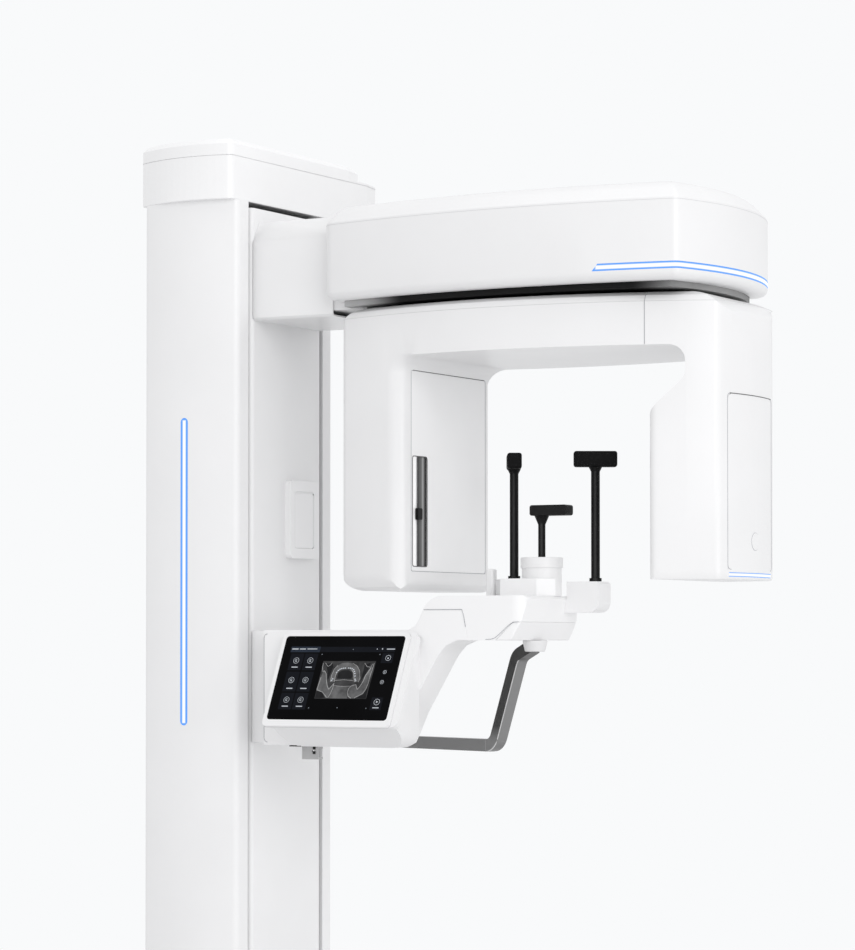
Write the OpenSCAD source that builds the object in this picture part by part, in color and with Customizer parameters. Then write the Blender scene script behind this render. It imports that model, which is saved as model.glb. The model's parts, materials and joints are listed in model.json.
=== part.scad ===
// Dental cone-beam scanner on a floor-standing column.
// Millimetres. Z up from the floor, X from the column towards the scanning arm, -Y towards the operator.
// The origin is on the floor at the column's axis.

/* [Column] */
// Height of the column's top edge above the chin table
column_over = 697; // [640:1:760]
// Column size along X
column_l = 196; // [180:1:210]
// Column size along Y
column_w = 352; // [340:1:364]
// Radius of the bulged column sides
column_bulge_r = 320; // [300:10:600]
// Radius of the column's vertical corners
column_corner_r = 13; // [6:1:18]
// Wall thickness of the column
column_wall = 5; // [4:0.5:8]
// Gap on each side of the sliding panel in the front slot
slot_gap = 9; // [7:0.5:12]
// Depth of the slot's side returns
slot_return = 30; // [20:1:36]
// Cap height up to its seam
cap_h = 77; // [60:1:95]
// Lid height above the seam
lid_h = 29; // [20:1:40]
// Overhang of the cap on the operator's side
cap_near = 11; // [6:1:20]
// Overhang of the cap on the far side
cap_far = 165; // [120:1:190]
// Curve of the cap on the operator's side
cap_bulge = 0.0021; // [0.001:0.0001:0.003]
// Length by which the lid stops short of the cap on the far side
lid_short = 66; // [40:1:90]
// Thickness of the moulded covers
cover_wall = 3; // [2.5:0.5:4]
// Position of the column light along X
light_x = -4; // [-20:1:20]
// Width of the column light
light_w = 15; // [10:1:20]
// Lower end of the column light
light_z0 = 1228; // [1150:1:1300]
// Upper end of the column light
light_z1 = 1768; // [1700:1:1850]

/* [Base] */
// Base plate thickness
base_t = 14; // [10:1:20]
// Base plate reach behind the column axis
base_back = 175; // [150:1:220]
// Base plate reach in front of the column axis
base_front = 640; // [600:1:700]
// Base plate width
base_w = 480; // [440:1:560]
// Base plate corner radius
base_r = 40; // [20:1:60]
// Anchor hole spacing along X
anchor_dx = 260; // [240:1:280]
// Anchor hole spacing along Y
anchor_dy = 410; // [390:1:420]
// Anchor hole radius
anchor_r = 7; // [5:0.5:9]
// Height of the skirt around the column's foot
skirt_h = 46; // [30:1:60]

/* [Lift] */
// Lift travel below the rest height
lift_travel = 650; // [500:10:660]
// Near side of the remote control's holder
holder_y = -7; // [-20:1:5]
// Width of the sliding panel
panel_w = 236; // [230:1:240]
// Depth of the sliding panel
panel_d = 18; // [14:1:24]
// How far the sliding panel stands proud of the column
panel_proud = 2; // [1:0.5:4]
// Lower edge of the sliding panel
panel_bottom = 740; // [730:1:780]
// Gap between the sliding panel and the cap
panel_gap = 10; // [6:1:16]
// Guide rail width
rail_w = 20; // [16:1:24]
// Guide rail height
rail_h = 23; // [20:1:26]
// Distance of the guide rails from the middle
rail_y = 98; // [92:1:102]
// Actuator barrel radius
barrel_r = 27; // [24:1:30]
// Actuator rod radius
rod_r = 14; // [12:0.5:16]
// Top of the actuator barrel
barrel_top = 800; // [760:1:820]

/* [Head] */
// Distance from the column axis to the spin axis
axis_x = 640; // [620:1:660]
// Gap between head and scanning arm
head_gap = 15; // [12:1:20]
// Height of the head's side wall
head_h = 129; // [115:1:140]
// Height of the head's sloping crown
crown_h = 33; // [25:1:40]
// Inward slope of the crown
crown_in = 36; // [28:1:45]
// Half width of the head at its widest
head_hw = 214; // [204:1:224]
// Bulge radius of the head's sides
head_side_r = 1500; // [1200:10:1800]
// Reach of the head beyond the spin axis
head_reach = 348; // [338:1:358]
// Curve radius of the head's end
head_end_r = 490; // [440:5:560]
// Curve radius of the head's end by the neck
head_back_r = 2600; // [2000:50:3200]
// Radius of the head's corners by the neck
head_corner_r = 36; // [28:1:44]
// Radius of the head's corners at the far end
head_end_corner_r = 16; // [10:1:22]
// Set-back of the neck's sides from the sliding panel's
neck_in = 2; // [0:0.5:8]
// Height of the neck's sloping shoulders
neck_slope_h = 37; // [28:1:45]
// Inward run of the neck's shoulders
neck_slope_in = 21; // [15:1:26]
// Length of the neck in front of the sliding panel
neck_len = 164; // [158:1:172]
// Height of the head light
head_light_h = 12; // [9:0.5:15]

/* [Scanning arm] */
// Gap between the scanning arm and the chin table
sweep_gap = 10; // [8:1:16]
// Total height of the scanning arm
arm_h = 485; // [460:1:510]
// Height of the arm's beam
beam_h = 87; // [78:1:95]
// Reach of the arm from the spin axis, both ways
arm_reach = 367; // [358:1:372]
// Half width of the arm at its widest
arm_hw = 191; // [182:1:196]
// Bulge radius of the arm's sides
arm_side_r = 900; // [840:10:1000]
// Distance of the widest place from the spin axis
arm_wide_dx = 18; // [10:1:26]
// Curve radius of the source end
source_end_r = 500; // [440:10:560]
// Curve radius of the detector end
detector_end_r = 420; // [380:10:480]
// Radius of the arm's upper and lower outer corners in the side view
arm_corner_r = 62; // [50:1:70]
// Distance from the spin axis to the source's inner wall
source_gap = 210; // [200:1:216]
// Distance from the spin axis to the detector's inner wall
detector_gap = 240; // [230:1:248]
// Extra width of the opening above the detector
detector_step = 61; // [54:1:66]
// Radius of the source box's vertical edges
source_edge_r = 26; // [20:1:28]
// Radius of the opening's upper corners in the side view
opening_r = 27; // [23:1:30]
// Radius of the detector's shoulder in the side view
shoulder_r = 26; // [16:1:30]
// Half width of the source's inner panel
source_panel_hw = 134; // [126:1:136]
// Half width of the detector door
door_hw = 90; // [82:1:94]
// Height of the detector door
door_h = 288; // [270:1:300]
// Radius of the round cap on the door
door_cap_r = 14.5; // [12:0.5:17]

/* [Spindle] */
// Radius of the hollow spin shaft
hub_r = 60; // [54:1:64]
// Radius of the cable bore in the spin shaft
hub_bore_r = 30; // [22:1:36]
// Outer radius of the bearing
bearing_r = 126; // [118:1:130]
// Height of the bearing
bearing_h = 50; // [44:1:54]
// Outer radius of the motor's rotor
rotor_r = 94; // [88:1:98]

/* [Chin table] */
// Height of the table's top
table_top = 1452; // [1440:1:1470]
// Operator's side of the table and lower arm
table_y0 = -165; // [-172:1:-158]
// Patient's side of the table and lower arm
table_y1 = 52; // [48:1:60]
// Reach of the table beyond the spin axis
table_reach = 22; // [16:1:28]
// Inward lean of the table's end
end_lean = 8; // [4:1:10]
// Depth of the lower arm along Y in front of its root
slab_d = 75; // [66:1:82]
// Length of the lower arm's wide root
root_l = 132; // [124:1:140]
// Position of the chin rest post along X from the spin axis
chin_dx = -15; // [-18:1:-12]
// Position of the chin rest post along Y
chin_y = -27; // [-32:1:-24]
// Radius of the chin rest's socket
socket_r = 34; // [30:1:35]
// Height of the socket below its lid
socket_h = 48; // [42:1:54]
// Height of the socket's lid
socket_lid_h = 18; // [14:1:22]
// Radius of the chin rest post
post_r = 6.2; // [5:0.1:7]
// Height of the chin bar's middle above the table
chin_bar_z = 146; // [138:1:153]
// Length of the chin bar
chin_bar_l = 70; // [64:1:76]
// Offset of the chin bar's middle from its post
chin_bar_dx = 18; // [8:1:22]
// Distance between the temple rods
temple_gap = 156; // [152:1:160]
// Position of the temple rods along Y
temple_y = 15; // [10:1:20]
// Radius of the temple rods
temple_rod_r = 7.5; // [6:0.5:8.5]
// Height of the temple pads' underside above the table
temple_pad_z = 220; // [205:1:230]
// Length of a temple pad
temple_pad_l = 74; // [66:1:80]
// Thickness of a temple pad
temple_pad_w = 25; // [20:1:28]
// Height of a temple pad
temple_pad_h = 27; // [22:1:32]
// Turn of the left pad at rest
left_pad_turn = 119; // [90:1:135]
// Turn of the right pad at rest
right_pad_turn = 29; // [0:1:45]

/* [Display] */
// Width of the display glass
glass_w = 235; // [228:1:240]
// Height of the display glass
glass_h = 157; // [150:1:160]
// Lean of the display from upright
lean = 25.7; // [20:0.1:30]
// Left end of the display glass
glass_x = 214; // [208:1:218]
// Distance of the glass's lower edge in front of the arm
glass_out = 88; // [86:1:94]
// Height of the glass's lower edge below the table's top
glass_drop = 209; // [204:1:214]
// Radius of the glass's corners
glass_r = 6; // [4:0.5:8]
// Radius of the housing's lower corners in the front view
housing_r = 30; // [20:1:40]
// How far the housing reaches beyond the bezel on the patient's side
housing_out = 13; // [9:1:15]
// Width of the bezel round the glass
bezel = 7; // [5:0.5:8]
// Height of the bezel's lower bar
bezel_low = 12; // [9:1:13]
// Thickness of the bezel
bezel_t = 16; // [12:1:18]

/* [Handle] */
// Middle plane of the grab handle
handle_y = -70; // [-78:1:-62]
// Turn of the handle's plane towards the operator
handle_turn = 25; // [18:1:30]
// Height of the handle's bar in the side view
handle_w = 21; // [18:1:24]
// Thickness of the handle's bar
handle_t = 21; // [16:1:24]
// Bend radius of the handle
handle_r = 26; // [20:1:30]
// Length of the handle's straight rising bar
handle_rise = 139; // [130:1:142]

/* [Fits] */
// Radial running clearance of shafts
run_gap = 0.08; // [0.02:0.01:0.1]
// Gap between parts that slide past each other
slide_gap = 0.5; // [0.3:0.1:1]
// Width of the seams between covers
seam = 0.6; // [0.4:0.1:1]

/* [Hidden] */
$fn = 64;
column_top = table_top + column_over;
front_x = column_l / 2 + panel_proud;
slot_w = panel_w + 2 * slot_gap;
neck_hw = panel_w / 2 - neck_in;
col_front = column_l / 2;
col_back = -column_l / 2;
back_in = col_back + column_wall;
panel_top = column_top - panel_gap;
panel_back = front_x - panel_d;
arm_bottom = table_top + sweep_gap;
arm_top = arm_bottom + arm_h;
beam_under = arm_top - beam_h;
detector_bottom = arm_bottom + 15;
head_bottom = arm_top + head_gap;
head_seam = head_bottom + head_h;
head_top_z = head_seam + crown_h;
head_x0 = front_x + neck_len;
head_x1 = axis_x + head_reach;
neck_bottom = head_bottom - 22;
neck_top = head_seam + 24;
arm_x0 = axis_x - arm_reach;
arm_x1 = axis_x + arm_reach;
source_x = axis_x - source_gap;
detector_x = axis_x + detector_gap;
light_band_z = head_bottom + 16;
rim_top = head_bottom + 8;
plate_z = rim_top + 2;
plate_top = plate_z + 12;
bearing_top = plate_top + bearing_h;
spindle_top = bearing_top + 50;
frame_top = arm_top - cover_wall;
carriage_x = col_back + 62;
carriage_back = carriage_x - 10;
beam_hw = 60;
beam_wall = 6;
beam_top = plate_top + 80;
beam_end = axis_x - bearing_r - 10;
tube_y0 = 8 - panel_w / 2;
tube_y1 = tube_y0 + 60;
tube_z0 = table_top - 222;
tube_z1 = table_top - 92;
arm_low = table_top - 256;
arm_high = table_top - 57;
handle_low = table_top - 255;
table_x1 = axis_x + table_reach;
socket_top = table_top + socket_h + socket_lid_h;
chin_x = axis_x + chin_dx;
temple_x0 = chin_x + 3 - temple_gap / 2;
temple_x1 = chin_x + 3 + temple_gap / 2;
platform_top = table_top + 30;
pod_top = table_top + 25;
pod_low = table_top - 28;
act_x = 15;
act_y = 40;
rod_top = table_top + 40;
knob_y = -source_panel_hw + 22;
knob_z = arm_bottom + 131;
panel_z0 = arm_bottom + 33;
panel_z1 = beam_under - 22;
slot_z0 = panel_z0 + 8;
slot_z1 = arm_bottom + 230;
door_z0 = detector_bottom + 16;
bracket_t = 53;
socket_x = axis_x - 6;
arm_root = front_x + bracket_t;
slab_y1 = table_y0 + slab_d;
root_x1 = arm_root + root_l;
root_y1 = panel_w / 2 - 12;
rod_socket_h = 19;
holder_z = table_top + 72;
glass_y = table_y0 - glass_out;
glass_z = table_top - glass_drop;
// Side profiles of the lower arm, as distances from the spin axis and the table's top
arm_profile = [[-224, -250], [-217, -236], [-199, -197], [-141, -100], [-126, -84], [-104, -75], [-83, -75],
  [-95, -23], [-170, -23], [-177, -38], [-185, -50], [-198, -57]];
table_profile = [[-118, -75], [-32, -75], [1, -44], [table_reach - end_lean, -44], [table_reach, -5],
  [table_reach - 6, 0], [-140, 0], [-155, -6], [-164, -14], [-170, -23], [-163, -42], [-146, -62]];
end_profile = [[-32, -75], [1, -44], [table_reach - end_lean, -44], [table_reach - end_lean - 13, -68],
  [table_reach - end_lean - 17, -75]];
// Room in the table's underside for the top of the lower arm
notch_profile = [[-180, -23], [-95, -23], [-83, -75], [-83, -90], [-180, -90]];

white = [0.93, 0.93, 0.94];
soft_white = [0.88, 0.88, 0.89];
dark = [0.12, 0.12, 0.13];
grey = [0.45, 0.46, 0.47];
steel = [0.62, 0.63, 0.65];
black = [0.08, 0.08, 0.09];
glow = [0.85, 0.92, 1];

module box(x0, x1, y0, y1, z0, z1) {
  translate([x0, y0, z0]) cube([x1 - x0, y1 - y0, z1 - z0]);
}

module post(x, y, z0, z1, r) {
  translate([x, y, z0]) cylinder(h = z1 - z0, r = r);
}

// Stands a side view (x, z) up and gives it a width along Y
module along_y(y0, y1) {
  translate([0, y1, 0]) rotate([90, 0, 0]) linear_extrude(y1 - y0) children();
}

// Stands a front view (y, z) up and gives it a length along X
module along_x(x0, x1) {
  translate([x0, 0, 0]) rotate([90, 0, 90]) linear_extrude(x1 - x0) children();
}

function arc(x, y, r, a) = [for (i = [0 : 6]) [x + r * cos(a + 15 * i), y + r * sin(a + 15 * i)]];

function round_box(x0, y0, x1, y1, r) = concat(arc(x1 - r, y1 - r, r, 0), arc(x0 + r, y1 - r, r, 90),
  arc(x0 + r, y0 + r, r, 180), arc(x1 - r, y0 + r, r, 270));

// End of the table at height z
function end_at(z) = table_x1 - end_lean * (table_top - 5 - z) / 39;

function from_axis(profile) = [for (p = profile) [axis_x + p[0], table_top + p[1]]];

// Lower meeting point of two circles
function circle_meet(a, ra, b, rb) = let(d = norm(b - a), u = (b - a) / d, t = (ra * ra - rb * rb + d * d) / (2 * d),
  h = sqrt(ra * ra - t * t), p = a + t * u, q = h * [-u[1], u[0]]) (q[1] < 0 ? p + q : p - q);

function heading(a, b) = atan2(b[1] - a[1], b[0] - a[0]);

function sweep(c, r, a0, a1, n) = [for (i = [1 : n]) c + r * [cos(a0 + (a1 - a0) * i / n), sin(a0 + (a1 - a0) * i / n)]];

// Lower half of a barrel-shaped plan from the end at x0 to the end at x1, in order
function half_plan(x0, r0, c0, x1, r1, c1, xc, hw, r, inset) =
  let(k0 = max(c0 - inset, 8), k1 = max(c1 - inset, 8), side = [xc, r - hw], e0 = [x0 + r0, 0], e1 = [x1 - r1, 0],
    f0 = circle_meet(e0, r0 - inset - k0, side, r - inset - k0), f1 = circle_meet(side, r - inset - k1, e1, r1 - inset - k1))
  concat([[x0 + inset, 0]], sweep(e0, r0 - inset, -180, heading(e0, f0), 4),
    sweep(f0, k0, heading(e0, f0), heading(side, f0), 6), sweep(side, r - inset, heading(side, f0), heading(side, f1), 16),
    sweep(f1, k1, heading(side, f1), heading(e1, f1), 6), sweep(e1, r1 - inset, heading(e1, f1), 0, 6));

function whole_plan(half) = concat(half, [for (i = [len(half) - 2 : -1 : 1]) [half[i][0], -half[i][1]]]);

// Joins rings of equal length, given as [height, ring], into one closed skin
module loft(rings) {
  n = len(rings[0][1]);
  k = len(rings);
  points = [for (ring = rings, p = ring[1]) [p[0], p[1], ring[0]]];
  sides = [for (j = [0 : k - 2], i = [0 : n - 1], t = [0, 1]) let(a = j * n + i, b = j * n + (i + 1) % n)
    t == 0 ? [a, a + n, b] : [b, a + n, b + n]];
  polyhedron(points, concat([[for (i = [0 : n - 1]) i]], sides, [[for (i = [n - 1 : -1 : 0]) (k - 1) * n + i]]));
}

// Joins rings of equal length, given as points in space, into one closed skin
module skin(rings) {
  n = len(rings[0]);
  k = len(rings);
  points = [for (ring = rings, p = ring) p];
  sides = [for (j = [0 : k - 2], i = [0 : n - 1], t = [0, 1]) let(a = j * n + i, b = j * n + (i + 1) % n)
    t == 0 ? [a, a + n, b] : [b, a + n, b + n]];
  polyhedron(points, concat([[for (i = [0 : n - 1]) i]], sides, [[for (i = [n - 1 : -1 : 0]) (k - 1) * n + i]]));
}

module column_outline(inset) {
  r = max(column_corner_r - inset, 2);
  offset(r = r) offset(delta = -inset - r) intersection() {
    square([column_l, column_w], center = true);
    translate([0, column_bulge_r - column_w / 2]) circle(column_bulge_r, $fn = 360);
    translate([0, column_w / 2 - column_bulge_r]) circle(column_bulge_r, $fn = 360);
  }
}

module capsule(y, x, z0, z1, w) {
  translate([x, y, z0 + w / 2]) rotate([90, 0, 0]) cylinder(h = 3, r = w / 2);
  translate([x, y, z1 - w / 2]) rotate([90, 0, 0]) cylinder(h = 3, r = w / 2);
  box(x - w / 2, x + w / 2, y - 3, y, z0 + w / 2, z1 - w / 2);
}

module base_plate() {
  color(steel) linear_extrude(base_t) difference() {
    polygon(round_box(-base_back, -base_w / 2, base_front, base_w / 2, base_r));
    for (x = [-1, 1], y = [-1, 1]) translate([x * anchor_dx / 2, y * anchor_dy / 2]) circle(anchor_r);
  }
}

module foot_skirt() {
  color(white) translate([0, 0, base_t]) linear_extrude(skirt_h) difference() {
    column_outline(-12);
    column_outline(-seam);
  }
}

module column_shell() {
  color(white) difference() {
    translate([0, 0, base_t]) linear_extrude(column_top - base_t) {
      difference() {
        column_outline(0);
        column_outline(column_wall);
        translate([col_front - 30, -slot_w / 2]) square([60, slot_w]);
      }
      for (s = [-1, 1]) translate([col_front - slot_return, s > 0 ? slot_w / 2 : -slot_w / 2 - 4])
        square([slot_return, 4]);
    }
    capsule(-column_w / 2 + 3, light_x, light_z0, light_z1, light_w);
  }
}

// Plan of the cap: a gently bulged side towards the operator and a long reach to the far side
module cap_outline(inset, far) {
  near = -column_w / 2 - cap_near;
  x0 = col_back - 14;
  offset(delta = -inset) offset(r = 14) offset(delta = -14) polygon(concat(
    [for (i = [0 : 14]) let(x = x0 + (column_l + 10) * i / 14) [x, near + cap_bulge * pow(x - 20, 2)]],
    [[col_front + 3, far - 60], [col_front - 10, far], [col_back - 4, far], [x0, 0]]));
}

module column_cap() {
  color(white) difference() {
    translate([0, 0, column_top]) linear_extrude(cap_h) cap_outline(0, column_w / 2 + cap_far);
    translate([0, 0, column_top + 5]) linear_extrude(cap_h) cap_outline(cover_wall, column_w / 2 + cap_far);
  }
}

module cap_lid() {
  z = column_top + cap_h;
  color(white) difference() {
    union() {
      hull() {
        translate([0, 0, z]) linear_extrude(lid_h - 9) cap_outline(0, column_w / 2 + cap_far - lid_short);
        translate([0, 0, z]) linear_extrude(lid_h) cap_outline(9, column_w / 2 + cap_far - lid_short);
      }
      translate([0, 0, z]) linear_extrude(4) cap_outline(0, column_w / 2 + cap_far);
    }
    translate([0, 0, z - 1]) linear_extrude(lid_h - 10) cap_outline(14, column_w / 2 + cap_far - lid_short);
  }
}

module column_light() {
  color(glow) capsule(-column_w / 2 + 3, light_x, light_z0 + 0.2, light_z1 - 0.2, light_w - 0.4);
}

module lower_cover() {
  x = panel_back - 14;
  low = tube_z0 - lift_travel - 8;
  color(soft_white) difference() {
    box(x, x + 4, -slot_w / 2 + 4, slot_w / 2 - 4, base_t, panel_bottom - 6);
    box(x - 1, x + 5, tube_y0 - 6, tube_y1 + 6, low, panel_bottom);
  }
}

module rail(y) {
  color(steel) box(back_in, back_in + rail_h, y - rail_w / 2, y + rail_w / 2, base_t + 46, column_top - 40);
}

module rail_left() {
  rail(-rail_y);
}

module rail_right() {
  rail(rail_y);
}

module actuator_barrel() {
  color(steel) difference() {
    union() {
      post(act_x, act_y, base_t, barrel_top, barrel_r);
      post(act_x, act_y, base_t, base_t + 12, barrel_r + 8);
      post(act_x, act_y, barrel_top - 30, barrel_top, barrel_r + 4);
    }
    post(act_x, act_y, base_t + 40, barrel_top + 1, rod_r + run_gap);
  }
}

module actuator_motor() {
  y = act_y - 2 * barrel_r - 16;
  color(grey) post(act_x, y, base_t, base_t + 190, 25);
  color(grey) box(act_x - 18, act_x + 18, y - 18, y + 18, base_t + 190, base_t + 214);
}

module power_box() {
  color(grey) box(back_in, back_in + 46, -rail_y + 24, rail_y - 24, base_t + 90, base_t + 430);
}

module carriage_frame() {
  color(steel) {
    difference() {
      box(carriage_back, carriage_x, -panel_w / 2 + 2, panel_w / 2 - 2, tube_z0 - 30, panel_top - 30);
      box(carriage_back - 1, carriage_x + 1, -50, 50, rod_top + 90, plate_top - 60);
    }
    difference() {
      box(carriage_x, arm_root + 90, tube_y0, tube_y1, tube_z0, tube_z1);
      box(carriage_x + 10, arm_root + 91, tube_y0 + 6, tube_y1 - 6, tube_z0 + 6, tube_z1 - 6);
    }
    box(carriage_x, act_x + 25, act_y - 25, act_y + 25, rod_top, rod_top + 40);
    for (y = [-1, 1], z = [rod_top + 60, panel_top - 70])
      box(carriage_x, front_x - 4, y * (panel_w / 2 - 22) - 8, y * (panel_w / 2 - 22) + 8, z - 8, z + 8);
  }
}

module slide_blocks() {
  color(grey) for (y = [-rail_y, rail_y], z = [tube_z0, panel_top - 140]) difference() {
    box(back_in + 3, carriage_back, y - rail_w / 2 - 12, y + rail_w / 2 + 12, z, z + 100);
    box(back_in, back_in + rail_h + slide_gap, y - rail_w / 2 - slide_gap, y + rail_w / 2 + slide_gap, z - 1, z + 101);
  }
}

module actuator_rod() {
  color(steel) post(act_x, act_y, barrel_top - 40, rod_top, rod_r);
}

module carriage_panel() {
  color(white) difference() {
    translate([0, 0, panel_bottom]) linear_extrude(panel_top - panel_bottom) difference() {
      polygon(concat([[panel_back, -panel_w / 2]], arc(front_x - 9, -panel_w / 2 + 9, 9, 270),
        arc(front_x - 9, panel_w / 2 - 9, 9, 0), [[panel_back, panel_w / 2]]));
      translate([panel_back - 1, -panel_w / 2 + 4]) square([panel_d - 3, panel_w - 8]);
    }
    box(panel_back, front_x + 1, -beam_hw - 4, beam_hw + 4, plate_top - 4, beam_top + 4);
    box(panel_back, front_x + 1, tube_y0 - 4, tube_y1 + 4, tube_z0 - 4, tube_z1 + 4);
  }
}

module neck_beam() {
  color(steel) difference() {
    box(carriage_x, beam_end, -beam_hw, beam_hw, plate_top, beam_top);
    box(carriage_x + 12, beam_end + 1, -beam_hw + beam_wall, beam_hw - beam_wall, plate_top + beam_wall, beam_top - beam_wall);
  }
}

module neck_section(inset) {
  offset(delta = -inset) polygon([[-neck_hw, neck_bottom + 4], [-neck_hw + 5, neck_bottom], [neck_hw - 5, neck_bottom],
    [neck_hw, neck_bottom + 4], [neck_hw, neck_top - neck_slope_h], [neck_hw - neck_slope_in, neck_top],
    [neck_slope_in - neck_hw, neck_top], [-neck_hw, neck_top - neck_slope_h]]);
}

module neck_cover() {
  color(white) difference() {
    union() {
      along_x(front_x, head_x0) neck_section(0);
      intersection() {
        along_x(front_x, head_x0 + crown_in) neck_section(0);
        box(front_x, head_x1, -head_hw, head_hw, head_seam, head_top_z);
      }
    }
    along_x(front_x - 1, head_x0 + crown_in + 1) neck_section(cover_wall);
    crown_solid(0);
  }
}

// Plan of the head: two bulged sides, a nearly straight end by the neck and a curved far end
function head_ring(inset) = whole_plan(half_plan(head_x0, head_back_r, head_corner_r, head_x1, head_end_r, head_end_corner_r,
  axis_x + 22, head_hw, head_side_r, inset));

module head_plan(inset) {
  polygon(head_ring(inset));
}

module head_solid() {
  loft([[head_bottom, head_ring(15)], [head_bottom + 3, head_ring(7)], [rim_top, head_ring(2)],
    [head_bottom + 14, head_ring(0)], [head_seam, head_ring(0)]]);
}

module crown_solid(inset) {
  loft([[head_seam, head_ring(inset)], [head_seam + 3, head_ring(inset)],
    [head_seam + crown_h * 0.6, head_ring(inset + crown_in * 0.42)],
    [head_seam + crown_h * 0.9, head_ring(inset + crown_in * 0.78)], [head_top_z - inset, head_ring(inset + crown_in)]]);
}

module light_band() {
  along_y(-head_hw - 5, head_hw + 5) polygon([[axis_x + 168, light_band_z], [head_x1 + 5, light_band_z],
    [head_x1 + 5, light_band_z + head_light_h], [axis_x + 178, light_band_z + head_light_h]]);
}

module head_shell() {
  color(white) difference() {
    head_solid();
    translate([0, 0, rim_top]) linear_extrude(head_seam + 5 - rim_top) head_plan(cover_wall + 2);
    translate([0, 0, head_bottom - 1]) linear_extrude(rim_top - head_bottom + 2) head_plan(30);
    box(head_x0 - 5, head_x0 + 20, -beam_hw - 4, beam_hw + 4, plate_top - 4, beam_top + 4);
    light_band();
  }
}

module head_light() {
  color(glow) intersection() {
    light_band();
    difference() {
      translate([0, 0, light_band_z]) linear_extrude(head_light_h) head_plan(0);
      translate([0, 0, light_band_z - 1]) linear_extrude(head_light_h + 2) head_plan(cover_wall);
    }
  }
}

module head_crown() {
  color(white) difference() {
    crown_solid(0);
    loft([[head_seam - 6, head_ring(12)], [head_seam + crown_h * 0.5, head_ring(crown_in * 0.6)],
      [head_top_z - cover_wall, head_ring(crown_in + 12)]]);
  }
}

module head_base() {
  color(dark) difference() {
    union() {
      translate([0, 0, head_bottom - 10]) linear_extrude(plate_z - head_bottom + 10) head_plan(30 + seam);
      translate([0, 0, rim_top]) linear_extrude(plate_z - rim_top) head_plan(20);
    }
    post(axis_x, 0, head_bottom - 20, head_bottom + 20, hub_r + 12);
  }
}

module head_frame() {
  color(steel) difference() {
    box(axis_x - 240, axis_x + 150, -bearing_r - 6, bearing_r + 6, plate_z, plate_top);
    post(axis_x, 0, plate_z - 1, plate_top + 1, hub_r + 6);
  }
}

module bearing() {
  color(steel) difference() {
    post(axis_x, 0, plate_top, bearing_top, bearing_r);
    post(axis_x, 0, plate_top - 1, bearing_top + 1, hub_r + run_gap);
  }
}

module motor_stator() {
  color(grey) difference() {
    post(axis_x, 0, bearing_top, spindle_top, bearing_r - 4);
    post(axis_x, 0, bearing_top - 1, spindle_top + 1, rotor_r + slide_gap);
  }
}

module remote_holder() {
  color(white) difference() {
    along_x(front_x, front_x + 12) polygon(round_box(holder_y, holder_z, holder_y + 98, holder_z + 139, 8));
    along_x(front_x + 4, front_x + 13) polygon(round_box(holder_y + 14, holder_z + 18, holder_y + 81, holder_z + 120, 5));
  }
}

module remote() {
  color(soft_white) along_x(front_x + 4, front_x + 11) polygon(round_box(holder_y + 15.5, holder_z + 18,
    holder_y + 79.5, holder_z + 118, 5));
}

module arm_bracket() {
  color(white) difference() {
    box(front_x, arm_root, -panel_w / 2, root_y1, arm_low + 2, arm_high - 1);
    box(front_x - 1, arm_root + 1, tube_y0 - 4, tube_y1 + 4, tube_z0 - 4, tube_z1 + 4);
  }
}

module lower_arm_side(inset) {
  offset(delta = -inset) polygon(concat([[arm_root, arm_low], [axis_x - 236, arm_low]], from_axis(arm_profile),
    [[arm_root, arm_high]]));
}

// A slab on the operator's side with a wide root behind it
module lower_arm_solid(inset) {
  intersection() {
    along_y(table_y0 - 5, root_y1 + 5) lower_arm_side(inset);
    translate([0, 0, arm_low - 5]) linear_extrude(table_top - arm_low) offset(delta = -inset)
      polygon([[arm_root - 20, table_y0], [axis_x, table_y0], [axis_x, slab_y1], [root_x1, slab_y1],
        [root_x1, root_y1], [arm_root - 20, root_y1]]);
  }
}

module lower_arm() {
  color(white) difference() {
    lower_arm_solid(0);
    lower_arm_solid(cover_wall);
    box(arm_root - 1, arm_root + 10, tube_y0 - 4, tube_y1 + 4, tube_z0 - 4, tube_z1 + 4);
    box(axis_x - 155, axis_x - 110, table_y0 + 12, slab_y1 - 12, table_top - 40, table_top - 22);
  }
}

module table_plan(inset) {
  polygon(round_box(axis_x - 300, table_y0 + inset, table_x1 - inset, table_y1 - inset, 24));
}

module table_side(inset) {
  offset(delta = -inset) difference() {
    polygon(from_axis(table_profile));
    polygon(from_axis(notch_profile));
  }
}

module table_cover() {
  color(white) difference() {
    intersection() {
      along_y(table_y0, table_y1) polygon(from_axis(table_profile));
      translate([0, 0, table_top - 100]) linear_extrude(110) table_plan(0);
    }
    along_y(table_y0 - 1, slab_y1 + seam) polygon(from_axis(notch_profile));
    along_y(table_y0 + cover_wall, table_y1 - cover_wall) intersection() {
      table_side(cover_wall);
      translate([axis_x - 200, table_top - 90]) square([180, 100]);
    }
    box(axis_x - 155, axis_x - 110, table_y0 + 12, slab_y1 - 12, table_top - 24, table_top - 10);
  }
}

module table_end() {
  color(white) intersection() {
    along_y(table_y0, table_y1) polygon(from_axis(end_profile));
    translate([0, 0, table_top - 100]) linear_extrude(110) table_plan(0);
  }
}

// Places a part in the leaning plane of the display: y goes into the screen, z up along it
module on_display() {
  translate([0, glass_y, glass_z]) rotate([-lean, 0, 0]) children();
}

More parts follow.
